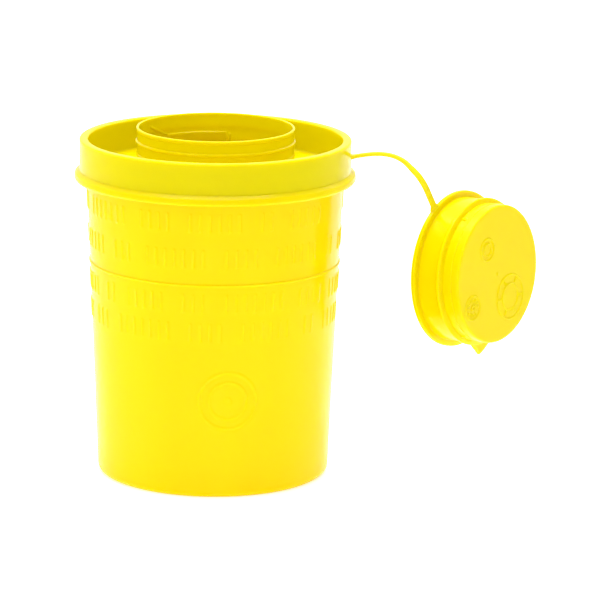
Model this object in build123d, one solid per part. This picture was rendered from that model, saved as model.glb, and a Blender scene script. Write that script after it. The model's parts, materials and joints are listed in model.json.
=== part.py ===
from build123d import *
import os

# Small sharps container, in millimetres. +Z is up and the origin is the centre of the flat base.
# The bucket and its press-on lid are turned shapes about Z. A flat strap leaves the lid's skirt towards +X
# and carries the plug cap, which hangs open beside the bucket. The strap's lengths between its bending
# places are separate links joined by hinges, so that the cap can be swung over and pushed into the neck.

os.makedirs("parts", exist_ok=True)

# ---- Bucket ----
BASE_R = 44.6
BASE_CORNER_R = 2.2
WALL = 1.2
FLOOR = 1.4
BODY_TOP_Z = 114.35
BODY_TOP_R = 49.12
COLLAR_Z = 116.4
COLLAR_R = 50.85
COLLAR_TOP_Z = 128.5
FILL_LINE_Z = 82.9
FILL_LINE_PROUD = 0.45
FILL_LINE_HALF_HEIGHT = 0.6

# ---- Lid: rim, skirt and trough ----
RIM_Z = 130.1
RIM_R = 52.0
RIM_INNER_R = 48.7
RIM_ROUND = 0.7
SNAP_GAP = 0.1
SKIRT_INNER_R = COLLAR_R + SNAP_GAP
CHANNEL_INNER_R = COLLAR_R - WALL - SNAP_GAP
CHANNEL_TOP_Z = RIM_Z - 1.2
BEAD_R = 53.9
BEAD_BOTTOM_Z = BODY_TOP_Z
BEAD_TOP_Z = 118.2
BEAD_ROUND = 1.5
TROUGH_Z = 118.2
TROUGH_FLOOR = 1.2
TROUGH_ROUND = 1.0

# ---- Lid: neck ----
NECK_TOP_Z = 134.4
NECK_R = 30.0
NECK_INNER_R = 29.35
NECK_BOTTOM_Z = 114.6
LIP_R = 30.25
LIP_HEIGHT = 1.5
LIP_ROUND = 0.3
RIDGE_Z = 128.9
RIDGE_PROUD = 0.6
LOWER_RIDGE_Z = 124.0
LOWER_RIDGE_PROUD = 0.3
RIDGE_HALF_HEIGHT = 0.7
SNAP_RIB_DEPTH = 7.3
SNAP_RIB_R = 28.95
SNAP_RIB_HEIGHT = 7.0
SNAP_RIB_START = 83.0
SNAP_RIB_SPAN = 48.0
SNAP_RIB_BITE = 0.2

# ---- Plug cap, along its own axis from the flange's outer face ----
FLANGE_R = 30.6
FLANGE_THICK = 1.8
FLANGE_ROUND = 0.5
PLUG_LENGTH = 19.8
PLUG_R = 28.1
PLUG_WAIST_R = 27.95
SNAP_BEAD_R = 28.85
SNAP_BEAD_START = 10.0
SNAP_BEAD_END = 12.7
SNAP_BEAD_SLOPE = 0.9
TIP_R = 27.0
TIP_RIB_PROUD = 0.25
TIP_RIB_S = 16.1
TIP_RIB_HALF_HEIGHT = 0.4
TIP_ROUND = 0.7
CUP_MOUTH_R = 26.9
CUP_FLOOR_R = 25.7
CUP_FLOOR_THICK = 1.4
CUP_ROUND = 1.2
TAB_END_X = 40.0
TAB_END_WIDTH = 13.4
TAB_ROOT_X = FLANGE_R - 2.2
TAB_ROOT_WIDTH = 17.6
TAB_CORNER_ROUND = 1.2
TAB_THICK = 1.3

# ---- Strap ----
STRAP_WIDTH = 2.4
STRAP_THICK = 1.4
STRAP_ROOT_Z = 123.45
STRAP_RISE = 10.0
ANCHOR_LENGTH = 3.2
LINK_LENGTH = 3.55
TONGUE_LENGTH = 2.4
KNUCKLE_GAP = 0.08
PIVOT_PIN_R = 0.4
PIVOT_PIN_LENGTH = 1.2
PIVOT_PIN_GAP = 0.06
ANCHOR_BITE = 0.6
# How the hanging strap turns at each hinge, from the lid to the cap: a bend raises or lowers the strap
# in its own plane, and the one twist turns it about its own length.
BEND = "bend"
TWIST = "twist"
STRAP_TURNS = [
    (BEND, -1), (BEND, -5), (BEND, -8), (BEND, -11), (BEND, -14), (BEND, -16),
    (TWIST, 46),
    (BEND, -14), (BEND, -10), (BEND, -7), (BEND, 1), (BEND, -3),
]


def turned(outline, roundings=()):
    """Solid of revolution about Z from (radius, height) points; roundings are (radius, height, fillet)."""
    face = make_face(Polyline(*[(r, 0, z) for r, z in outline], close=True))
    for r, z, fillet_radius in roundings:
        corner = face.vertices().sort_by_distance((r, 0, z))[0]
        face = fillet(corner, fillet_radius)
    return revolve(face, Axis.Z)


def container_body():
    """Tapered bucket with a fill-line ring and a collar stepped out for the lid."""
    slope = (BODY_TOP_R - BASE_R) / BODY_TOP_Z
    line_r = BASE_R + slope * FILL_LINE_Z
    line_lift = FILL_LINE_HALF_HEIGHT
    outline = [
        (0, 0),
        (BASE_R, 0),
        (line_r - slope * line_lift, FILL_LINE_Z - line_lift),
        (line_r + FILL_LINE_PROUD, FILL_LINE_Z - line_lift / 2),
        (line_r + FILL_LINE_PROUD, FILL_LINE_Z + line_lift / 2),
        (line_r + slope * line_lift, FILL_LINE_Z + line_lift),
        (BODY_TOP_R, BODY_TOP_Z),
        (COLLAR_R, COLLAR_Z),
        (COLLAR_R, COLLAR_TOP_Z),
        (COLLAR_R - WALL, COLLAR_TOP_Z),
        (COLLAR_R - WALL, COLLAR_Z),
        (BODY_TOP_R - WALL, BODY_TOP_Z),
        (BASE_R + slope * FLOOR - WALL, FLOOR),
        (0, FLOOR),
    ]
    roundings = [
        (BASE_R, 0, BASE_CORNER_R),
        (BASE_R + slope * FLOOR - WALL, FLOOR, BASE_CORNER_R - FLOOR / 2),
    ]
    return turned(outline, roundings)


def neck_outside():
    """The neck's outer outline from the trough's floor to the lip, with its two ridges."""
    points = [(NECK_R, TROUGH_Z)]
    for z, proud in ((LOWER_RIDGE_Z, LOWER_RIDGE_PROUD), (RIDGE_Z, RIDGE_PROUD)):
        points += [
            (NECK_R, z - RIDGE_HALF_HEIGHT),
            (NECK_R + proud, z - RIDGE_HALF_HEIGHT / 2),
            (NECK_R + proud, z + RIDGE_HALF_HEIGHT / 2),
            (NECK_R, z + RIDGE_HALF_HEIGHT),
        ]
    lip_z = NECK_TOP_Z - LIP_HEIGHT
    points += [(NECK_R, lip_z - (LIP_R - NECK_R)), (LIP_R, lip_z), (LIP_R, NECK_TOP_Z)]
    return points


def lid_shell():
    """Skirt with its bead, flat rim, trough and neck, as one turned wall."""
    outline = [
        (SKIRT_INNER_R, BEAD_BOTTOM_Z),
        (BEAD_R, BEAD_BOTTOM_Z),
        (BEAD_R, BEAD_TOP_Z),
        (RIM_R, BEAD_TOP_Z),
        (RIM_R, RIM_Z),
        (RIM_INNER_R, RIM_Z),
        (RIM_INNER_R, TROUGH_Z),
    ]
    outline += neck_outside()
    outline += [
        (NECK_INNER_R, NECK_TOP_Z),
        (NECK_INNER_R, NECK_BOTTOM_Z),
        (NECK_R, NECK_BOTTOM_Z),
        (NECK_R, TROUGH_Z - TROUGH_FLOOR),
        (CHANNEL_INNER_R, TROUGH_Z - TROUGH_FLOOR),
        (CHANNEL_INNER_R, CHANNEL_TOP_Z),
        (SKIRT_INNER_R, CHANNEL_TOP_Z),
    ]
    roundings = [
        (BEAD_R, BEAD_BOTTOM_Z, BEAD_ROUND),
        (BEAD_R, BEAD_TOP_Z, BEAD_ROUND),
        (RIM_R, RIM_Z, RIM_ROUND),
        (RIM_INNER_R, RIM_Z, RIM_ROUND),
        (RIM_INNER_R, TROUGH_Z, TROUGH_ROUND),
        (NECK_R, TROUGH_Z, TROUGH_ROUND),
        (LIP_R, NECK_TOP_Z, LIP_ROUND),
        (NECK_INNER_R, NECK_TOP_Z, LIP_ROUND),
    ]
    return turned(outline, roundings)


def snap_rib(start_angle):
    """Shallow raised stretch of the neck's inner wall that the cap's bead passes."""
    top = NECK_TOP_Z - SNAP_RIB_DEPTH
    face = make_face(
        Polyline(
            (SNAP_RIB_R, 0, top - SNAP_RIB_HEIGHT),
            (NECK_INNER_R + SNAP_RIB_BITE, 0, top - SNAP_RIB_HEIGHT),
            (NECK_INNER_R + SNAP_RIB_BITE, 0, top),
            (SNAP_RIB_R, 0, top),
            close=True,
        )
    )
    return Rot(0, 0, start_angle) * revolve(face, Axis.Z, SNAP_RIB_SPAN)


class StrapFrame:
    """Where the strap has got to: position, direction of its length, and of its width."""

    def __init__(self, position, along, width):
        self.position = position
        self.along = along
        self.width = width

    def plane(self):
        """Local X along the strap, Y across it and Z out of its upper face."""
        return Plane(origin=self.position, x_dir=self.along, z_dir=self.along.cross(self.width))

    def advanced(self, length):
        return StrapFrame(self.position + self.along * length, self.along, self.width)

    def turned(self, kind, angle):
        if kind == TWIST:
            axis = Axis((0, 0, 0), self.along)
            return StrapFrame(self.position, self.along, self.width.rotate(axis, angle))
        axis = Axis((0, 0, 0), -self.width)
        return StrapFrame(self.position, self.along.rotate(axis, angle), self.width)


def strap_frames():
    """The frame at the strap's root, then at each hinge, leaving it."""
    along = Vector(1, 0, 0).rotate(Axis((0, 0, 0), (0, -1, 0)), STRAP_RISE)
    root = StrapFrame(Vector(RIM_R, 0, STRAP_ROOT_Z), along, Vector(0, 1, 0))
    frames = [root]
    step = ANCHOR_LENGTH
    for kind, angle in STRAP_TURNS:
        frames.append(frames[-1].advanced(step).turned(kind, angle))
        step = LINK_LENGTH
    return frames


def band(start, end):
    """Flat length of strap along local X."""
    block = Box(end - start, STRAP_WIDTH, STRAP_THICK)
    return Pos((start + end) / 2, 0, 0) * block


def strap_piece(start_kind, length, end_kind, start=None):
    """Length of band between two hinges: a round knuckle or a pivot pin at its far end."""
    half = STRAP_THICK / 2
    if start is None:
        start = KNUCKLE_GAP if start_kind == TWIST else half + KNUCKLE_GAP
    if end_kind == TWIST:
        pin = Cylinder(PIVOT_PIN_R, PIVOT_PIN_LENGTH + half, rotation=(0, 90, 0))
        piece = band(start, length) + Pos(length + (PIVOT_PIN_LENGTH - half) / 2, 0, 0) * pin
    elif end_kind == BEND:
        piece = band(start, length) + Pos(length, 0, 0) * Cylinder(half, STRAP_WIDTH, rotation=(90, 0, 0))
    else:
        piece = band(start, length)
    if start_kind == TWIST:
        depth = PIVOT_PIN_LENGTH + PIVOT_PIN_GAP
        bore = Cylinder(PIVOT_PIN_R + PIVOT_PIN_GAP, depth * 2, rotation=(0, 90, 0))
        piece -= bore
    return piece


def lid(root):
    """Lid shell with its inner snap ribs and the strap's anchor on the skirt."""
    anchor = root.plane().location * strap_piece(None, ANCHOR_LENGTH, BEND, start=-ANCHOR_BITE)
    ribs = [snap_rib(SNAP_RIB_START + turn) for turn in (0, 180)]
    return lid_shell() + ribs[0] + ribs[1] + anchor


def cap_cup():
    """Hollow plug: open at the flange, closed at the tip, turned about its own axis."""
    wall_end = SNAP_BEAD_START
    outline = [
        (CUP_MOUTH_R, 0),
        (FLANGE_R, 0),
        (FLANGE_R, FLANGE_THICK),
        (PLUG_R, FLANGE_THICK),
        (PLUG_WAIST_R, wall_end),
        (SNAP_BEAD_R, wall_end + SNAP_BEAD_SLOPE),
        (SNAP_BEAD_R, SNAP_BEAD_END - SNAP_BEAD_SLOPE),
        (TIP_R, SNAP_BEAD_END),
        (TIP_R, TIP_RIB_S - TIP_RIB_HALF_HEIGHT),
        (TIP_R + TIP_RIB_PROUD, TIP_RIB_S - TIP_RIB_HALF_HEIGHT / 2),
        (TIP_R + TIP_RIB_PROUD, TIP_RIB_S + TIP_RIB_HALF_HEIGHT / 2),
        (TIP_R, TIP_RIB_S + TIP_RIB_HALF_HEIGHT),
        (TIP_R, PLUG_LENGTH),
        (0, PLUG_LENGTH),
        (0, PLUG_LENGTH - CUP_FLOOR_THICK),
        (CUP_FLOOR_R, PLUG_LENGTH - CUP_FLOOR_THICK),
    ]
    roundings = [
        (FLANGE_R, 0, FLANGE_ROUND),
        (FLANGE_R, FLANGE_THICK, FLANGE_ROUND),
        (TIP_R, PLUG_LENGTH, TIP_ROUND),
        (CUP_FLOOR_R, PLUG_LENGTH - CUP_FLOOR_THICK, CUP_ROUND),
    ]
    return turned(outline, roundings)


def pull_tab():
    """Wide pull tab on the flange, opposite the strap, with rounded corners."""
    outline = make_face(
        Polyline(
            (-TAB_ROOT_X, -TAB_ROOT_WIDTH / 2),
            (-TAB_ROOT_X, TAB_ROOT_WIDTH / 2),
            (-TAB_END_X, TAB_END_WIDTH / 2),
            (-TAB_END_X, -TAB_END_WIDTH / 2),
            close=True,
        )
    )
    corners = outline.vertices().sort_by(Axis.X)[:2]
    return extrude(fillet(corners, TAB_CORNER_ROUND), TAB_THICK)


def plug_cap(last):
    """Cup, tab and the tongue that the strap ends in; the cap's axis is the strap's upper normal."""
    upper = last.along.cross(last.width)
    half = STRAP_THICK / 2
    centre = last.position + last.along * (TONGUE_LENGTH + FLANGE_R) - upper * half
    cap_plane = Plane(origin=centre, x_dir=-last.along, z_dir=upper)
    tongue = strap_piece(BEND, TONGUE_LENGTH + FLANGE_ROUND * 2, None)
    cup = cap_plane.location * (cap_cup() + pull_tab())
    return cup + last.plane().location * tongue


def save(solid, node):
    export_step(solid, f"parts/{node}.step")


frames = strap_frames()
save(container_body(), "container_body")
save(lid(frames[0]), "lid")
for number, frame in enumerate(frames[1:-1], start=1):
    start_kind = STRAP_TURNS[number - 1][0]
    end_kind = STRAP_TURNS[number][0]
    link = frame.plane().location * strap_piece(start_kind, LINK_LENGTH, end_kind)
    save(link, f"strap_{number:02d}")
save(plug_cap(frames[-1]), "plug_cap")
for number, frame in enumerate(frames[1:], start=1):
    kind, angle = STRAP_TURNS[number - 1]
    axis = frame.along if kind == TWIST else -frame.width
    print(f"hinge {number} {kind}", tuple(round(v, 4) for v in frame.position), tuple(round(v, 5) for v in axis))
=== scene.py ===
"""Looks of the sharps container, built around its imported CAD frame.

The bucket, the lid and the plug cap are turned shells with moulded relief, and the strap is one band that
bends smoothly across its hinges. Lengths are in millimetres unless a comment says otherwise, and become
metres through MM.
"""

import json
import math
from collections import namedtuple

import bmesh
import bpy
import numpy as np
from mathutils import Matrix, Vector, noise

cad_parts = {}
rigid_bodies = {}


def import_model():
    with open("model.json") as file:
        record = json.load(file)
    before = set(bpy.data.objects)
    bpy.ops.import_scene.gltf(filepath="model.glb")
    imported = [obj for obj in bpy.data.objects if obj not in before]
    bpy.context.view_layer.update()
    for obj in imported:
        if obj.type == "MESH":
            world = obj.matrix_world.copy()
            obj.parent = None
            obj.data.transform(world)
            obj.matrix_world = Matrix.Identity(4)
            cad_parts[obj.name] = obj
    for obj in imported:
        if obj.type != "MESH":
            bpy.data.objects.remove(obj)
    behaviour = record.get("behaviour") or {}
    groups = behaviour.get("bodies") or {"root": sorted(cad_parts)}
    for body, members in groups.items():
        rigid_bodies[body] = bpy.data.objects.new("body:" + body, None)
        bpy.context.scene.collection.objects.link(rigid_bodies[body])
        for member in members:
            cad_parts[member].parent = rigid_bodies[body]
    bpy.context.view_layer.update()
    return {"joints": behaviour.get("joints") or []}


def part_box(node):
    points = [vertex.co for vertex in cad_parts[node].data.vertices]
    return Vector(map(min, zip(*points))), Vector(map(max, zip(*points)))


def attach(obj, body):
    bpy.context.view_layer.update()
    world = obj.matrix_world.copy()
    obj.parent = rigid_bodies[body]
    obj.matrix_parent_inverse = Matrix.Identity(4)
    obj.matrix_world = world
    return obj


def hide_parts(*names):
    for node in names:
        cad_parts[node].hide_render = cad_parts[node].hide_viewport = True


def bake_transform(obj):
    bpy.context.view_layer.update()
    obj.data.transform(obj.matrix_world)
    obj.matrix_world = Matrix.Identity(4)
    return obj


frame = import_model()

MM = 0.001
TAU = 2 * math.pi
SCENE = bpy.context.scene

# ---- Bucket ----
BASE_R = 44.6
BASE_CORNER_R = 2.2
INNER_CORNER_R = 1.5
WALL = 1.2
FLOOR = 1.4
FOOT_RING_WIDTH = 6.0
FOOT_RING_SLOPE = 1.0
FOOT_RECESS = 0.6
BODY_TOP_R = 49.12
BODY_TOP_Z = 114.35
BODY_SLOPE = (BODY_TOP_R - BASE_R) / BODY_TOP_Z
COLLAR_R = 50.85
COLLAR_Z = 116.4
COLLAR_TOP_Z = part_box("container_body")[1].z / MM
COLLAR_ROUND = 0.4
STEP_ROUND = 0.6
FILL_LINE_Z = 82.9
FILL_LINE_PROUD = 0.45
FILL_LINE_HALF_CREST = 0.3

# ---- Lid ----
RIM_R = 52.0
RIM_INNER_R = 48.7
RIM_Z = 130.1
RIM_ROUND = 0.7
SHEET_THICK = 1.2
SNAP_GAP = 0.1
SKIRT_INNER_R = COLLAR_R + SNAP_GAP
CHANNEL_INNER_R = COLLAR_R - WALL - SNAP_GAP
BEAD_R = 53.9
BEAD_FOOT_IN = 0.5
BEAD_FOOT_HEIGHT = 0.9
BEAD_SHOULDER_IN = 0.2
BEAD_SHOULDER_HEIGHT = 2.6
BEAD_TOP_Z = 118.2
BEAD_ROUND = 0.4
BEAD_SHOULDER_ROUND = 0.7
TROUGH_Z = 118.2
TROUGH_ROUND = 1.0
INNER_ROUND = 0.5
EDGE_ROUND = 0.3
THIN_EDGE_ROUND = 0.25

# ---- Lid: neck ----
NECK_R = 30.0
NECK_INNER_R = 29.35
NECK_TOP_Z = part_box("lid")[1].z / MM
NECK_BOTTOM_Z = 114.6
NECK_RINGS = ((124.0, 0.3), (128.9, 0.6))
NECK_RING_HALF_CREST = 0.35
LIP_R = 30.25
LIP_HEIGHT = 1.5
LIP_FOOT_ROUND = 0.15

# ---- Raised rings on the walls ----
RING_HALF = 0.7
RING_ROUND = 0.2

# ---- Plug cap, along its own axis from the flange's outer face ----
FLANGE_R = 30.6
FLANGE_THICK = 1.8
FLANGE_ROUND = 0.5
PLUG_LENGTH = 19.8
PLUG_R = 28.1
PLUG_FOOT_ROUND = 0.35
PLUG_WAIST_R = 27.95
PLUG_WAIST_ROUND = 0.6
SNAP_BEAD_R = 28.85
SNAP_BEAD_START = 10.0
SNAP_BEAD_END = 12.7
SNAP_BEAD_SLOPE = 0.9
SNAP_BEAD_START_ROUND = 0.5
SNAP_BEAD_END_ROUND = 0.4
TIP_R = 27.0
TIP_ROUND = 0.7
TIP_RIB_Z = 16.1
TIP_RIB_HALF = 0.4
TIP_RIB_HALF_CREST = 0.2
TIP_RIB_PROUD = 0.25
TIP_RIB_ROUND = 0.1
CUP_MOUTH_R = 26.9
CUP_FLOOR_R = 25.7
CUP_FLOOR_THICK = 1.4
CUP_ROUND = 1.2
TAB_END_X = 40.0
TAB_END_HALF = 6.7
TAB_ROOT_HALF = 8.4
TAB_THICK = 1.3
TAB_CORNER_ROUND = 0.7

# ---- Strap ----
STRAP_WIDTH = 2.4
STRAP_THICK = 1.4
STRAP_EASE = 0.3
STRAP_ROOT = Vector((RIM_R, 0, 123.45)) * MM
TONGUE_LENGTH = 2.4

# ---- How finely the turned shells are drawn ----
FILLET_STEPS = 5
BIG_SEGMENTS = 192
CAP_SEGMENTS = 160
FLOOR_SEGMENTS = 96
BIG_SPAN = 3.0
CAP_SPAN = 2.0
ON_AXIS = 1e-9
SLIVER = 0.001
QUAD = 4
SOFT_ANGLE = 32.0
STRAP_SOFT_ANGLE = 50.0


# ---------------------------------------------------------------- meshes

def rounded(corners, steps=FILLET_STEPS):
    """Outline through (radius, height, fillet) corners, each fillet drawn as an arc; a closed loop."""
    points = []
    count = len(corners)
    for index, corner in enumerate(corners):
        here = Vector(corner[:2])
        fillet = corner[2] if len(corner) > 2 else 0
        if not fillet:
            points.append(here)
            continue
        to_last = (Vector(corners[index - 1][:2]) - here).normalized()
        to_next = (Vector(corners[(index + 1) % count][:2]) - here).normalized()
        half = to_last.angle(to_next) / 2
        centre = here + (to_last + to_next).normalized() * (fillet / math.sin(half))
        start = here + to_last * (fillet / math.tan(half)) - centre
        end = here + to_next * (fillet / math.tan(half)) - centre
        for step in range(steps + 1):
            points.append(centre + start.slerp(end, step / steps) * fillet)
    return points


def subdivided(points, longest):
    """The same closed outline with no span longer than that, leaving the spans on the axis whole."""
    out = []
    for index, here in enumerate(points):
        after = points[(index + 1) % len(points)]
        pieces = max(1, math.ceil((after - here).length / longest))
        on_axis = here.x < ON_AXIS and after.x < ON_AXIS
        out += [here.lerp(after, k / pieces) for k in range(1 if on_axis else pieces)]
    return out


def new_object(name, mesh, sharp_angle=SOFT_ANGLE):
    """Object from a mesh, smooth except at edges sharper than that angle in degrees."""
    mesh.shade_smooth()
    mesh.set_sharp_from_angle(angle=math.radians(sharp_angle))
    made = bpy.data.objects.new(name, mesh)
    SCENE.collection.objects.link(made)
    return made


def turned(outline, segments):
    """Vertices and faces of a closed shell of revolution about Z, from (radius, height) points."""
    vertices, rows, faces = [], [], []
    for point in outline:
        if point.x < ON_AXIS:
            rows.append([len(vertices)] * segments)
            vertices.append(Vector((0, 0, point.y)))
            continue
        rows.append(list(range(len(vertices), len(vertices) + segments)))
        for k in range(segments):
            angle = TAU * k / segments
            vertices.append(Vector((point.x * math.cos(angle), point.x * math.sin(angle), point.y)))
    for row, above in zip(rows, rows[1:] + rows[:1]):
        for k in range(segments):
            after = (k + 1) % segments
            corners = [row[k], row[after], above[after], above[k]]
            unique = [v for i, v in enumerate(corners) if v != corners[i - 1]]
            if len(unique) > 2 and len(set(unique)) == len(unique):
                faces.append(unique)
    return vertices, faces


# A mark is moulded relief: a rounded bar, pad or ring centred at (at, up) on a skin and turned on it.
# Half is its half size before rounding, loop is the radius of a ring, and stroke is half its line's width.
Mark = namedtuple("Mark", "at up stroke proud half loop turn", defaults=((0, 0), 0, 0))
ON_SKIN = 0.12
EMBOSS_PASSES = 5
NEAR_SHARE = 0.7
SHOULDER_SHARE = 0.7


class RoundSkin:
    """A wall round the Z axis, taking marks at an angle in degrees and a height."""

    def __init__(self, radius_at, low, high, outward=1):
        self.radius_at, self.low, self.high, self.outward = radius_at, low, high, outward

    def holds(self, points):
        off = np.abs(np.hypot(points[:, 0], points[:, 1]) - self.radius_at(points[:, 2]))
        return (off < ON_SKIN) & (points[:, 2] > self.low) & (points[:, 2] < self.high)

    def local(self, points, mark):
        turn = np.arctan2(points[:, 1], points[:, 0]) - math.radians(mark.at)
        turn = (turn + math.pi) % TAU - math.pi
        return turn * self.radius_at(points[:, 2]), points[:, 2] - mark.up

    def raised(self, point, height):
        scale = (self.radius_at(point.z) + self.outward * height) / math.hypot(point.x, point.y)
        return Vector((point.x * scale, point.y * scale, point.z))


class FlatSkin:
    """A flat face across the Z axis, taking marks at x and y."""

    def __init__(self, level, radius, outward=1):
        self.level, self.radius, self.outward = level, radius, outward

    def holds(self, points):
        inside = np.hypot(points[:, 0], points[:, 1]) < self.radius
        return inside & (np.abs(points[:, 2] - self.level) < ON_SKIN)

    def local(self, points, mark):
        return points[:, 0] - mark.at, points[:, 1] - mark.up

    def raised(self, point, height):
        return Vector((point.x, point.y, self.level + self.outward * height))


def mark_distance(skin, points, mark):
    """How far each point is from the middle of a mark's line, in strokes."""
    x, y = skin.local(points, mark)
    turn = math.radians(mark.turn)
    along = np.abs(x * math.cos(turn) + y * math.sin(turn)) - mark.half[0]
    across = np.abs(y * math.cos(turn) - x * math.sin(turn)) - mark.half[1]
    away = np.hypot(np.maximum(along, 0), np.maximum(across, 0))
    return np.abs(away - mark.loop) / mark.stroke


def emboss(work, skin, marks, finest):
    """Raises marks out of a shell's own skin, after splitting the faces near them to the finest edge."""
    for _ in range(EMBOSS_PASSES):
        faces = work.faces[:]
        middles = np.array([f.calc_center_median() for f in faces])
        reach = np.array([max(e.calc_length() for e in f.edges) for f in faces]) * NEAR_SHARE
        near = np.zeros(len(faces), bool)
        for mark in marks:
            near |= (mark_distance(skin, middles, mark) - 1) * mark.stroke < reach
        near &= skin.holds(middles)
        edges = {e for f, hit in zip(faces, near) if hit for e in f.edges if e.calc_length() > finest}
        if not edges:
            break
        bmesh.ops.subdivide_edges(work, edges=list(edges), cuts=1, use_grid_fill=True)
    points = np.array([v.co for v in work.verts])
    height = np.zeros(len(points))
    for mark in marks:
        inside = np.clip((1 - mark_distance(skin, points, mark)) / SHOULDER_SHARE, 0, 1)
        height = np.maximum(height, mark.proud * inside * inside * (3 - 2 * inside))
    for vertex, up, held in zip(work.verts, height, skin.holds(points)):
        if held:
            vertex.co = skin.raised(vertex.co, up)


def shell(outline, segments):
    """A closed shell of revolution about Z as a bmesh."""
    work = bmesh.new()
    points, faces = turned(outline, segments)
    vertices = [work.verts.new(point) for point in points]
    for face in faces:
        work.faces.new([vertices[i] for i in face])
    return work


WARP_CORE_R = 1.0
WARP_WAVES_UP = 0.02
WARP_SHRINK = 0.5


def warp(work, amount, waves):
    """Slow moulding warp of a shell about the Z axis, about a tenth of a millimetre."""
    for vertex in work.verts:
        r = math.hypot(vertex.co.x, vertex.co.y)
        if r < WARP_CORE_R:
            continue
        x, y = vertex.co.x / r, vertex.co.y / r
        wave = noise.noise(Vector((x * waves, y * waves, vertex.co.z * WARP_WAVES_UP)))
        bulge = amount * (wave - WARP_SHRINK)
        vertex.co.x += x * bulge
        vertex.co.y += y * bulge


def finished(name, work, matrix=Matrix.Identity(4), sharp_angle=SOFT_ANGLE):
    """Object in metres from a bmesh in millimetres, with no slivers and all faces pointing outwards."""
    bmesh.ops.triangulate(work, faces=[f for f in work.faces if len(f.verts) > QUAD])
    bmesh.ops.dissolve_degenerate(work, dist=SLIVER, edges=work.edges)
    bmesh.ops.recalc_face_normals(work, faces=work.faces)
    bmesh.ops.transform(work, matrix=matrix @ Matrix.Scale(MM, 4), verts=work.verts)
    mesh = bpy.data.meshes.new(name)
    work.to_mesh(mesh)
    work.free()
    return new_object(name, mesh, sharp_angle)


# ---------------------------------------------------------------- materials

# Noise scales are per metre, and the bump depths and the scatter length are in metres.
FLOW_SCALE = 22.0
PATCH_SCALE = 45.0
PEEL_SCALE = 160.0
GRAIN_SCALE = 900.0
SCUFF_SCALE = 2600.0
PEEL_DEPTH = 0.00006
GRAIN_DEPTH = 0.000012
SCUFF_DEPTH = 0.000008
SCUFF_DULLING = 0.12
PLASTIC_IOR = 1.49
PLASTIC_SPECULAR = 0.08
SCATTER_LENGTH = 0.003
SCATTER_COLOUR = (1.0, 0.85, 0.12)


def node(tree, kind, **settings):
    made = tree.nodes.new(kind)
    for key, value in settings.items():
        setattr(made, key, value)
    return made


def noise_node(tree, vector, scale, detail=2.0, roughness=0.5):
    made = node(tree, "ShaderNodeTexNoise")
    made.inputs["Scale"].default_value = scale
    made.inputs["Detail"].default_value = detail
    made.inputs["Roughness"].default_value = roughness
    tree.links.new(vector, made.inputs["Vector"])
    return made.outputs["Fac"]


def remap(tree, value, low, high, to_low, to_high):
    made = node(tree, "ShaderNodeMapRange")
    for name, number in (("From Min", low), ("From Max", high), ("To Min", to_low), ("To Max", to_high)):
        made.inputs[name].default_value = number
    tree.links.new(value, made.inputs["Value"])
    return made.outputs["Result"]


def combined(tree, operation, first, second):
    made = node(tree, "ShaderNodeMath", operation=operation)
    tree.links.new(first, made.inputs[0])
    tree.links.new(second, made.inputs[1])
    return made.outputs["Value"]


def bumped(tree, height, distance, strength, normal=None):
    made = node(tree, "ShaderNodeBump")
    made.inputs["Distance"].default_value = distance
    made.inputs["Strength"].default_value = strength
    tree.links.new(height, made.inputs["Height"])
    if normal:
        tree.links.new(normal, made.inputs["Normal"])
    return made.outputs["Normal"]


def flow_colour(tree, where, thin, dense, stretch):
    """Colour between two shades, along soft flow marks that are longer where the stretch is smaller."""
    stretched = node(tree, "ShaderNodeMapping")
    stretched.inputs["Scale"].default_value = stretch
    tree.links.new(where, stretched.inputs["Vector"])
    flow = noise_node(tree, stretched.outputs["Vector"], FLOW_SCALE, detail=3.0, roughness=0.55)
    tint = node(tree, "ShaderNodeMix", data_type="RGBA")
    tint.inputs["A"].default_value = (*dense, 1)
    tint.inputs["B"].default_value = (*thin, 1)
    tree.links.new(remap(tree, flow, 0.3, 0.7, 0, 1), tint.inputs["Factor"])
    return tint.outputs["Result"]


def plastic(name, thin, dense, glow, gloss, stretch=(1.0, 1.0, 1.0)):
    """Glossy, slightly milky polypropylene with flow marks, mould texture and fine handling scuffs."""
    made = bpy.data.materials.new(name)
    made.use_nodes = True
    tree = made.node_tree
    shader = tree.nodes["Principled BSDF"]
    where = node(tree, "ShaderNodeTexCoord").outputs["Object"]
    tree.links.new(flow_colour(tree, where, thin, dense, stretch), shader.inputs["Base Color"])

    patches = noise_node(tree, where, PATCH_SCALE, detail=3.0, roughness=0.6)
    peel = noise_node(tree, where, PEEL_SCALE)
    grain = noise_node(tree, where, GRAIN_SCALE)
    scuffs = noise_node(tree, where, SCUFF_SCALE, detail=4.0, roughness=0.7)
    scratched = remap(tree, scuffs, 0.55, 0.75, 0, 1)
    handled = remap(tree, patches, 0.5, 0.7, 0, 1)
    worn = combined(tree, "MULTIPLY", scratched, handled)
    base_roughness = remap(tree, patches, 0.3, 0.7, *gloss)
    dulling = remap(tree, worn, 0, 1, 0, SCUFF_DULLING)
    tree.links.new(combined(tree, "ADD", base_roughness, dulling), shader.inputs["Roughness"])

    normal = bumped(tree, peel, PEEL_DEPTH, strength=0.55)
    normal = bumped(tree, grain, GRAIN_DEPTH, strength=0.5, normal=normal)
    normal = bumped(tree, worn, SCUFF_DEPTH, strength=0.4, normal=normal)
    tree.links.new(normal, shader.inputs["Normal"])

    shader.inputs["IOR"].default_value = PLASTIC_IOR
    shader.inputs["Specular IOR Level"].default_value = PLASTIC_SPECULAR
    shader.inputs["Subsurface Weight"].default_value = glow
    shader.inputs["Subsurface Scale"].default_value = SCATTER_LENGTH
    shader.inputs["Subsurface Radius"].default_value = SCATTER_COLOUR
    return made


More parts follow.
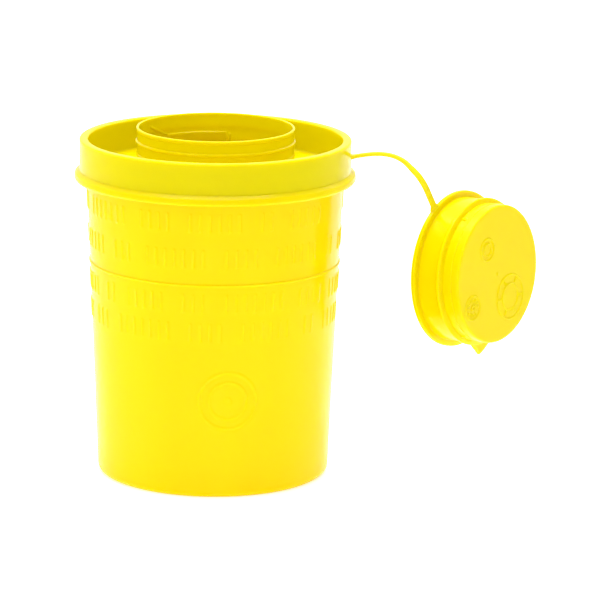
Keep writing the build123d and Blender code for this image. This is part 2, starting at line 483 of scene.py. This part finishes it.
def container_material():
    thin, dense = (0.87, 0.64, 0.0005), (0.84, 0.60, 0.0001)
    upright = (1.0, 1.0, 0.25)
    return plastic("container_plastic", thin, dense, glow=0.6, gloss=(0.16, 0.24), stretch=upright)


def lid_material():
    thin, dense = (0.73, 0.605, 0.0002), (0.70, 0.575, 0.0001)
    return plastic("lid_plastic", thin, dense, glow=0.85, gloss=(0.14, 0.22))


def strap_painted_lit_material():
    """The lid's plastic painted paler, as it looks where it is thin and lit from all round: painted light
    in place of light through the thin band, with no scatter.
    """
    # Paler than the lid's own colours: painted light for the thin, lit band.
    thin, dense = (0.82, 0.68, 0.01), (0.78, 0.64, 0.006)
    return plastic("strap_plastic_painted_lit", thin, dense, glow=0.0, gloss=(0.14, 0.22))


def floor_material():
    made = bpy.data.materials.new("floor_white")
    made.use_nodes = True
    shader = made.node_tree.nodes["Principled BSDF"]
    white = (0.93, 0.93, 0.92, 1)
    shader.inputs["Base Color"].default_value = white
    shader.inputs["Roughness"].default_value = 0.6
    shader.inputs["Emission Color"].default_value = white
    shader.inputs["Emission Strength"].default_value = 0.4
    return made


# ---------------------------------------------------------------- bucket

MARK_HEIGHT = 7.7
MARK_WIDTH = 1.5
MARK_PITCH = 3.7
MARK_GROUP_GAP = 1.4
MARK_ROW_END_GAP = 9
MARK_GROUPS = (5, 3, 7, 4, 6, 2)
# Each row's height, and the angle in degrees where it starts.
MARK_ROWS = [(107.0, 0), (93.2, 37), (76.0, 71), (64.8, 15)]
RELIEF_PROUD = 0.35
MEDALLION_Z = 38.2
MEDALLION_ANGLE = -82.0
MEDALLION_RINGS = (7.2, 11.0)
MEDALLION_STROKE = 0.7
MEDALLION_BUTTON = 2.2
BUCKET_RELIEF_EDGE = 0.45
BUCKET_RELIEF_LOW = 5.0
BUCKET_RELIEF_HIGH = BODY_TOP_Z - 1.0


def wall_radius(z):
    return BASE_R + BODY_SLOPE * z


def ring_corners(radius_at, z, proud, half_crest):
    """Corners of a low raised ring round a wall."""
    crest_r = radius_at(z) + proud
    return [
        (radius_at(z - RING_HALF), z - RING_HALF, RING_ROUND),
        (crest_r, z - half_crest, RING_ROUND),
        (crest_r, z + half_crest, RING_ROUND),
        (radius_at(z + RING_HALF), z + RING_HALF, RING_ROUND),
    ]


def bucket_outline():
    corners = [
        (0, FOOT_RECESS),
        (BASE_R - FOOT_RING_WIDTH - FOOT_RING_SLOPE, FOOT_RECESS, EDGE_ROUND),
        (BASE_R - FOOT_RING_WIDTH, 0, EDGE_ROUND),
        (BASE_R, 0, BASE_CORNER_R),
    ]
    corners += ring_corners(wall_radius, FILL_LINE_Z, FILL_LINE_PROUD, FILL_LINE_HALF_CREST)
    corners += [
        (BODY_TOP_R, BODY_TOP_Z, STEP_ROUND),
        (COLLAR_R, COLLAR_Z, STEP_ROUND),
        (COLLAR_R, COLLAR_TOP_Z, COLLAR_ROUND),
        (COLLAR_R - WALL, COLLAR_TOP_Z, COLLAR_ROUND),
        (COLLAR_R - WALL, COLLAR_Z, STEP_ROUND),
        (BODY_TOP_R - WALL, BODY_TOP_Z, STEP_ROUND),
        (wall_radius(FLOOR) - WALL, FLOOR, INNER_CORNER_R),
        (0, FLOOR),
    ]
    return rounded(corners)


def wall_marks():
    """Four rows of plain upright bars in groups round the wall, two above the fill line and two below."""
    marks = []
    half = (0, (MARK_HEIGHT - MARK_WIDTH) / 2)
    for z, start in MARK_ROWS:
        pitch = math.degrees(MARK_PITCH / wall_radius(z))
        angle, group = start, 0
        while angle < start + 360 - MARK_ROW_END_GAP * pitch:
            for _ in range(MARK_GROUPS[group % len(MARK_GROUPS)]):
                marks.append(Mark(angle, z, MARK_WIDTH / 2, RELIEF_PROUD, half))
                angle += pitch
            angle += MARK_GROUP_GAP * pitch
            group += 1
    return marks


def medallion():
    """Blank round panel on the front: two raised rings and a low button."""
    place = (MEDALLION_ANGLE, MEDALLION_Z)
    marks = [Mark(*place, MEDALLION_STROKE, RELIEF_PROUD, loop=radius) for radius in MEDALLION_RINGS]
    return marks + [Mark(*place, MEDALLION_BUTTON, RELIEF_PROUD)]


def make_bucket(material):
    work = shell(subdivided(bucket_outline(), BIG_SPAN), BIG_SEGMENTS)
    skin = RoundSkin(wall_radius, BUCKET_RELIEF_LOW, BUCKET_RELIEF_HIGH)
    emboss(work, skin, wall_marks() + medallion(), BUCKET_RELIEF_EDGE)
    warp(work, amount=0.12, waves=1.6)
    bucket = finished("bucket", work)
    bucket.data.materials.append(material)
    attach(bucket, "container")
    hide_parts("container_body")


# ---------------------------------------------------------------- lid

SNAP_RIB_TOP_Z = NECK_TOP_Z - 7.3
SNAP_RIB_HEIGHT = 7.0
SNAP_RIB_MIDDLE = 107.0
SNAP_RIB_HALF_SPAN = math.radians(24.0) * NECK_INNER_R
SNAP_RIB_PROUD = 0.4
LEAD_IN_ANGLE = 34.0
LEAD_IN_RISE = 1.9
LEAD_IN_SLOPE = 24.0
NIB_ANGLE = -26.0
NIB_Z = NECK_TOP_Z - 9.5
LID_RELIEF_EDGE = 0.35
LID_RELIEF_LOW = NECK_BOTTOM_Z + 0.5
LID_RELIEF_HIGH = NECK_TOP_Z - 0.5


def neck_radius(z):
    """The same at every height, given as one number or an array."""
    return NECK_R + 0 * z


def neck_inner_radius(z):
    """The same at every height, given as one number or an array."""
    return NECK_INNER_R + 0 * z


def lid_outline():
    """Up the skirt over its bead, across the rim and trough, up and down the neck, and back inside."""
    corners = [
        (SKIRT_INNER_R, BODY_TOP_Z, THIN_EDGE_ROUND),
        (BEAD_R - BEAD_FOOT_IN, BODY_TOP_Z, BEAD_ROUND),
        (BEAD_R, BODY_TOP_Z + BEAD_FOOT_HEIGHT, BEAD_ROUND),
        (BEAD_R - BEAD_SHOULDER_IN, BODY_TOP_Z + BEAD_SHOULDER_HEIGHT, BEAD_SHOULDER_ROUND),
        (RIM_R, BEAD_TOP_Z, EDGE_ROUND),
        (RIM_R, RIM_Z, RIM_ROUND),
        (RIM_INNER_R, RIM_Z, RIM_ROUND),
        (RIM_INNER_R, TROUGH_Z, TROUGH_ROUND),
        (NECK_R, TROUGH_Z, TROUGH_ROUND),
    ]
    for z, proud in NECK_RINGS:
        corners += ring_corners(neck_radius, z, proud, NECK_RING_HALF_CREST)
    lip_z = NECK_TOP_Z - LIP_HEIGHT
    corners += [
        (NECK_R, lip_z - (LIP_R - NECK_R), LIP_FOOT_ROUND),
        (LIP_R, lip_z, LIP_FOOT_ROUND),
        (LIP_R, NECK_TOP_Z, EDGE_ROUND),
        (NECK_INNER_R, NECK_TOP_Z, EDGE_ROUND),
        (NECK_INNER_R, NECK_BOTTOM_Z, THIN_EDGE_ROUND),
        (NECK_R, NECK_BOTTOM_Z, THIN_EDGE_ROUND),
        (NECK_R, TROUGH_Z - SHEET_THICK, INNER_ROUND),
        (CHANNEL_INNER_R, TROUGH_Z - SHEET_THICK, INNER_ROUND),
        (CHANNEL_INNER_R, RIM_Z - SHEET_THICK, EDGE_ROUND),
        (SKIRT_INNER_R, RIM_Z - SHEET_THICK, EDGE_ROUND),
    ]
    return rounded(corners)


def neck_marks():
    """Snap ribs inside the neck, each with a sloping lead-in line beside it and a small locating nib."""
    marks = []
    rib_middle_z = SNAP_RIB_TOP_Z - SNAP_RIB_HEIGHT / 2
    rib_half = (SNAP_RIB_HALF_SPAN - SNAP_RIB_PROUD, SNAP_RIB_HEIGHT / 2 - SNAP_RIB_PROUD)
    for turn in (0, 180):
        middle = SNAP_RIB_MIDDLE + turn
        lead_in = (middle + LEAD_IN_ANGLE, SNAP_RIB_TOP_Z + LEAD_IN_RISE)
        marks.append(Mark(middle, rib_middle_z, stroke=0.5, proud=SNAP_RIB_PROUD, half=rib_half))
        marks.append(Mark(*lead_in, stroke=0.6, proud=0.25, half=(5.0, 0), turn=LEAD_IN_SLOPE))
        marks.append(Mark(middle + NIB_ANGLE, NIB_Z, stroke=0.8, proud=0.4, half=(0, 1.0)))
    return marks


def make_lid(material):
    work = shell(subdivided(lid_outline(), BIG_SPAN), BIG_SEGMENTS)
    skin = RoundSkin(neck_inner_radius, LID_RELIEF_LOW, LID_RELIEF_HIGH, outward=-1)
    emboss(work, skin, neck_marks(), LID_RELIEF_EDGE)
    warp(work, amount=0.08, waves=1.4)
    lid = finished("lid_shell", work)
    lid.data.materials.append(material)
    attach(lid, "lid")
    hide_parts("lid")


# ---------------------------------------------------------------- strap

# Places on the strap are in metres, as the frame gives them. A hinge's reach is in degrees.
Hinge = namedtuple("Hinge", "point width parent child reach")
CORNER_STEPS = 3
RING_STEPS = 12
FLARE = 0.9
FLARE_LENGTH = 2.2
TWIST_SMOOTHING = 3
END_BEND = math.radians(3.0)
# A hinge that turns by fewer degrees than this joins two rigid lengths of strap, because its bend is too
# small to see.
LEAST_BEND = 6.0
ROOT_SHARES = (-0.08, 0.0, 0.12, 0.25, 0.4)
TIP_SHARES = (0.45, 0.3, 0.15, 0.0, -0.15)


def strap_hinges():
    """The strap's hinges from the lid to the cap, each with the band's width direction after it."""
    width = Vector((0, 1, 0))
    hinges = []
    joints = [j for j in frame["joints"] if j["name"].startswith("strap_")]
    for index, joint in enumerate(joints):
        source = joints[index + 1] if "twist" in joint["name"] else joint
        axis = Vector(source["axis"]).normalized()
        width = axis if axis.dot(width) > 0 else -axis
        reach = max(abs(limit) for limit in joint["range_deg"])
        hinges.append(Hinge(Vector(joint["pos_m"]), width, joint["parent"], joint["child"], reach))
    return hinges


def band_ring(position, along, width, spread):
    """The corners of the strap's eased rectangular section at a place."""
    upper = along.cross(width).normalized()
    ease = STRAP_EASE * MM
    half_width = STRAP_WIDTH / 2 * MM * spread - ease
    half_thick = STRAP_THICK / 2 * MM - ease
    points = []
    for sign_w, sign_t in ((1, 1), (-1, 1), (-1, -1), (1, -1)):
        first = math.atan2(sign_t, sign_w) - math.pi / 4
        for step in range(CORNER_STEPS + 1):
            a = first + math.pi / 2 * step / CORNER_STEPS
            across = sign_w * half_width + ease * math.cos(a)
            up = sign_t * half_thick + ease * math.sin(a)
            points.append(position + width * across + upper * up)
    return points


def band_piece(name, rings, material):
    """A closed length of strap through rings of corners."""
    vertices = [v for section in rings for v in section]
    count = len(rings[0])
    faces = []
    for k in range(len(rings) - 1):
        for i in range(count):
            j = (i + 1) % count
            faces.append((k * count + i, k * count + j, (k + 1) * count + j, (k + 1) * count + i))
    faces.append(tuple(reversed(range(count))))
    faces.append(tuple((len(rings) - 1) * count + i for i in range(count)))
    mesh = bpy.data.meshes.new(name)
    mesh.from_pydata(vertices, [], faces)
    piece = new_object(name, mesh, STRAP_SOFT_ANGLE)
    piece.data.materials.append(material)
    return piece


def flare(distance):
    """How much wider the strap is that far from where it joins the lid or the flange."""
    return 1 + FLARE * max(0.0, 1 - max(0.0, distance) / (FLARE_LENGTH * MM)) ** 2


def flared_rings(base, outer, shares, width):
    """Rings at shares of the way from the base, where the strap is widest, to a point further out."""
    rings = []
    run = outer - base
    along = run.normalized() if shares[0] < shares[-1] else -run.normalized()
    for share in shares:
        rings.append(band_ring(base + run * share, along, width, flare(run.length * share)))
    return rings


def bend_rings(start, point, end, width_before, width_after):
    """Rings round one hinge, on the smooth curve that leaves and joins the lengths beside it."""
    rings = []
    for step in range(RING_STEPS + 1):
        t = step / RING_STEPS
        where = start.lerp(point, t).lerp(point.lerp(end, t), t)
        along = (point - start).lerp(end - point, t).normalized()
        width = width_before.slerp(width_after, t * t * (3 - 2 * t))
        width = (width - along * width.dot(along)).normalized()
        rings.append(band_ring(where, along, width, 1.0))
    return rings


def strap_widths(hinges):
    """Width directions at the root and after each hinge, the twist spread over its neighbours."""
    widths = [Vector((0, 1, 0))] + [hinge.width for hinge in hinges]
    for _ in range(TWIST_SMOOTHING):
        inner = [(a + b + c).normalized() for a, b, c in zip(widths, widths[1:], widths[2:])]
        widths = widths[:1] + inner + widths[-1:]
    return widths


def make_strap(material):
    """One smooth band from the skirt to the flange, a length of it bending across each hinge."""
    hinges = strap_hinges()
    last = hinges[-1]
    end_along = (last.point - hinges[-2].point).normalized()
    end_along.rotate(Matrix.Rotation(END_BEND, 3, last.width))
    tip = last.point + end_along * TONGUE_LENGTH * MM
    knots = [STRAP_ROOT] + [hinge.point for hinge in hinges] + [tip]
    widths = strap_widths(hinges)
    for k, hinge in enumerate(hinges, start=1):
        start = (knots[k - 1] + hinge.point) / 2
        end = (hinge.point + knots[k + 1]) / 2
        rings = bend_rings(start, hinge.point, end, widths[k - 1], widths[k])
        if hinge is hinges[0]:
            rings = flared_rings(STRAP_ROOT, hinge.point, ROOT_SHARES, widths[0]) + rings
        if hinge is last:
            rings += flared_rings(tip, hinge.point, TIP_SHARES, widths[k])
        name = f"strap_length_{k:02d}"
        if hinge.reach < LEAST_BEND:
            middle = len(rings) // 2
            piece = band_piece(name, rings[:middle + 2], material)
            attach(piece, hinge.parent)
            piece = band_piece(name + "_end", rings[middle:], material)
            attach(piece, hinge.child)
        else:
            piece = band_piece(name, rings, material)
            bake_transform(piece)
        if hinge is not last:
            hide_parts(hinge.child)
    return end_along, widths[-1], last.point


# ---------------------------------------------------------------- plug cap

FACE_PROUD = 0.4
FACE_STROKE = 0.45
# Where the three marks on the face are: radius, and angle in degrees from the side by the strap.
DIAL_PLACE = (20.0, 91.0)
WHEEL_PLACE = (13.3, -172.0)
BLANK_PLACE = (13.0, 4.0)
DIAL_RINGS = (4.7, 1.0)
WHEEL_RINGS = (8.8, 5.2)
BLANK_RINGS = (4.4, 2.4)
GATE_STUB_R = 1.2
GATE_STUB_PROUD = 0.25
SIDE_NIB_Z = 13.8
SIDE_NIB_ANGLES = (1.0, 116.6)
SIDE_NIB_HALF = 0.7
CUP_RINGS = (8.0, 17.0)
FACE_RELIEF_EDGE = 0.3
FACE_RELIEF_R = TIP_R - 1.0
CUP_RELIEF_EDGE = 0.5
CUP_RELIEF_R = CUP_FLOOR_R - 2.0
SIDE_RELIEF_LOW = SNAP_BEAD_END - 0.1
SIDE_RELIEF_HIGH = TIP_RIB_Z - 0.5


def tip_radius(z):
    """The same at every height, given as one number or an array."""
    return TIP_R + 0 * z


def cap_outline():
    """From the cup's mouth out over the flange, along the plug to its face, and back inside the cup."""
    cup_floor_z = PLUG_LENGTH - CUP_FLOOR_THICK
    return rounded([
        (CUP_MOUTH_R, 0, EDGE_ROUND),
        (FLANGE_R, 0, FLANGE_ROUND),
        (FLANGE_R, FLANGE_THICK, FLANGE_ROUND),
        (PLUG_R, FLANGE_THICK, PLUG_FOOT_ROUND),
        (PLUG_WAIST_R, SNAP_BEAD_START, PLUG_WAIST_ROUND),
        (SNAP_BEAD_R, SNAP_BEAD_START + SNAP_BEAD_SLOPE, SNAP_BEAD_START_ROUND),
        (SNAP_BEAD_R, SNAP_BEAD_END - SNAP_BEAD_SLOPE, SNAP_BEAD_END_ROUND),
        (TIP_R, SNAP_BEAD_END, EDGE_ROUND),
        (TIP_R, TIP_RIB_Z - TIP_RIB_HALF, 2 * TIP_RIB_ROUND),
        (TIP_R + TIP_RIB_PROUD, TIP_RIB_Z - TIP_RIB_HALF_CREST, TIP_RIB_ROUND),
        (TIP_R + TIP_RIB_PROUD, TIP_RIB_Z + TIP_RIB_HALF_CREST, TIP_RIB_ROUND),
        (TIP_R, TIP_RIB_Z + TIP_RIB_HALF, 2 * TIP_RIB_ROUND),
        (TIP_R, PLUG_LENGTH, TIP_ROUND),
        (0, PLUG_LENGTH),
        (0, cup_floor_z),
        (CUP_FLOOR_R, cup_floor_z, CUP_ROUND),
    ])


def polar(radius, angle):
    return radius * math.cos(math.radians(angle)), radius * math.sin(math.radians(angle))


def spokes(centre, inner, outer, count, stroke):
    """Bars pointing at a centre, evenly round it."""
    made = []
    for k in range(count):
        x, y = polar((inner + outer) / 2, 360 * k / count)
        half = ((outer - inner) / 2 - stroke, 0)
        made.append(Mark(centre[0] + x, centre[1] + y, stroke, FACE_PROUD, half, turn=360 * k / count))
    return made


def ring_marks(centre, radii):
    return [Mark(*centre, FACE_STROKE, FACE_PROUD, loop=radius) for radius in radii]


def face_marks():
    """Generic moulding marks: a ticked dial, a spoked ring, a blank ring and the gate's stub."""
    dial, wheel, blank = polar(*DIAL_PLACE), polar(*WHEEL_PLACE), polar(*BLANK_PLACE)
    marks = spokes(dial, inner=2.2, outer=3.7, count=12, stroke=0.35)
    marks += spokes(wheel, inner=5.8, outer=8.2, count=6, stroke=0.45)
    for centre, radii in ((dial, DIAL_RINGS), (wheel, WHEEL_RINGS), (blank, BLANK_RINGS)):
        marks += ring_marks(centre, radii)
    return marks + [Mark(0, 0, GATE_STUB_R, GATE_STUB_PROUD)]


def side_marks():
    """Two locating nibs on the plug's tip, one of them in line with the strap."""
    nib = {"stroke": SIDE_NIB_HALF, "proud": SIDE_NIB_HALF, "half": (0, 0.5)}
    return [Mark(angle, SIDE_NIB_Z, **nib) for angle in SIDE_NIB_ANGLES]


def cup_marks():
    """Faint turned rings on the cup's floor, on the side that faces out when the plug is in."""
    return [Mark(0, 0, stroke=0.5, proud=0.15, loop=radius) for radius in CUP_RINGS]


RIM_EASE = 0.6
TAB_CORNER_POWER = 8


def pull_tab(work):
    """Draws the flange's rim out opposite the strap, into a wide, tapering tab with rounded corners."""
    for vertex in work.verts:
        inset = FLANGE_R - math.hypot(vertex.co.x, vertex.co.y)
        across = abs(vertex.co.y) / TAB_ROOT_HALF
        if inset > RIM_EASE or across > 1 or vertex.co.x > 0:
            continue
        vertex.co.x = -TAB_END_X + inset + TAB_CORNER_ROUND * across ** TAB_CORNER_POWER
        vertex.co.y *= TAB_END_HALF / TAB_ROOT_HALF
        vertex.co.z *= TAB_THICK / FLANGE_THICK


def make_cap(material, along, width, last_hinge):
    """The hollow plug, standing on its axis and then set where the strap's end holds it."""
    upper = along.cross(width).normalized()
    centre = last_hinge + along * (TONGUE_LENGTH + FLANGE_R) * MM - upper * (STRAP_THICK / 2 * MM)
    sideways = upper.cross(-along)
    place = Matrix((
        (-along.x, sideways.x, upper.x, centre.x),
        (-along.y, sideways.y, upper.y, centre.y),
        (-along.z, sideways.z, upper.z, centre.z),
        (0, 0, 0, 1),
    ))
    work = shell(subdivided(cap_outline(), CAP_SPAN), CAP_SEGMENTS)
    face = FlatSkin(PLUG_LENGTH, FACE_RELIEF_R)
    cup_floor = FlatSkin(PLUG_LENGTH - CUP_FLOOR_THICK, CUP_RELIEF_R, outward=-1)
    side = RoundSkin(tip_radius, SIDE_RELIEF_LOW, SIDE_RELIEF_HIGH)
    emboss(work, face, face_marks(), FACE_RELIEF_EDGE)
    emboss(work, cup_floor, cup_marks(), CUP_RELIEF_EDGE)
    emboss(work, side, side_marks(), FACE_RELIEF_EDGE)
    warp(work, amount=0.08, waves=1.2)
    pull_tab(work)
    cap = finished("cap", work, place)
    cap.data.materials.append(material)
    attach(cap, "cap")
    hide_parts("plug_cap")


# ---------------------------------------------------------------- stage, lights and camera

TABLE_R = 4000
TABLE_THICK = 2
DIM_SIDE_STRENGTH = 0.6
# In metres: the point that the lights face.
OBJECT_MIDDLE = (0.02, 0, 0.07)
# Name, place in metres, width and height in metres, and power in watts.
SOFTBOXES = [
    ("overhead", (0.0, 0.1, 0.9), (0.7, 0.7), 8.5),
    ("key_left", (-0.7, -0.8, 0.8), (0.12, 0.5), 0.6),
    ("back_strip", (0.35, 0.8, 0.75), (0.6, 0.08), 1.2),
]


def make_table():
    """Pale round table top, bright like a light table."""
    outline = [Vector(c) for c in ((0, -TABLE_THICK), (TABLE_R, -TABLE_THICK), (TABLE_R, 0), (0, 0))]
    table = finished("floor", shell(outline, FLOOR_SEGMENTS))
    table.data.materials.append(floor_material())


def make_surround():
    """White surround, dimmer on the right."""
    world = bpy.data.worlds.new("surround")
    SCENE.world = world
    world.use_nodes = True
    tree = world.node_tree
    direction = node(tree, "ShaderNodeSeparateXYZ")
    tree.links.new(node(tree, "ShaderNodeTexCoord").outputs["Generated"], direction.inputs["Vector"])
    strength = remap(tree, direction.outputs["X"], 0.1, 0.8, 1.0, DIM_SIDE_STRENGTH)
    tree.links.new(strength, tree.nodes["Background"].inputs["Strength"])
    tree.nodes["Background"].inputs["Color"].default_value = (1, 1, 1, 1)


def softbox(name, position, size, power):
    """Rectangular light aimed at the object."""
    light = bpy.data.lights.new(name, "AREA")
    light.shape = "RECTANGLE"
    light.size, light.size_y = size
    light.energy = power
    made = bpy.data.objects.new(name, light)
    made.location = position
    aim = Vector(OBJECT_MIDDLE) - Vector(position)
    made.rotation_euler = aim.to_track_quat("-Z", "Y").to_euler()
    SCENE.collection.objects.link(made)


CAMERA_LENS = 227.494
CAMERA_SENSOR = 36.0
# In metres.
CAMERA_CLIP = (0.05, 50.0)
CAMERA_PITCH = math.radians(13.3365)
CAMERA_ROLL = math.radians(-0.8114)
# Where the object's origin is from the camera: right, down and forward, in millimetres.
ORIGIN_SEEN_AT = (-33.965, 64.664, 1477.45)


def make_camera():
    """Long lens a little above the rim, looking along +Y."""
    forward = Vector((0, math.cos(CAMERA_PITCH), -math.sin(CAMERA_PITCH)))
    down = Vector((0, -math.sin(CAMERA_PITCH), -math.cos(CAMERA_PITCH)))
    right = Vector((1, 0, 0))
    rolled_right = right * math.cos(CAMERA_ROLL) + down * math.sin(CAMERA_ROLL)
    rolled_down = down * math.cos(CAMERA_ROLL) - right * math.sin(CAMERA_ROLL)
    x, y, z = ORIGIN_SEEN_AT
    position = -(rolled_right * x + rolled_down * y + forward * z) * MM
    data = bpy.data.cameras.new("camera")
    data.lens = CAMERA_LENS
    data.sensor_width = CAMERA_SENSOR
    data.clip_start, data.clip_end = CAMERA_CLIP
    camera = bpy.data.objects.new("camera", data)
    axes = (rolled_right, -rolled_down, -forward)
    rotation = Matrix([[a[i] for a in axes] for i in range(3)])
    camera.matrix_world = Matrix.Translation(position) @ rotation.to_4x4()
    SCENE.collection.objects.link(camera)
    SCENE.camera = camera


# ---------------------------------------------------------------- the scene

make_camera()
make_table()
make_surround()
for settings in SOFTBOXES:
    softbox(*settings)
SCENE.view_settings.view_transform = "Standard"

lid_plastic = lid_material()
make_bucket(container_material())
make_lid(lid_plastic)
cap_along, cap_width, cap_hinge = make_strap(strap_painted_lit_material())
make_cap(lid_plastic, cap_along, cap_width, cap_hinge)
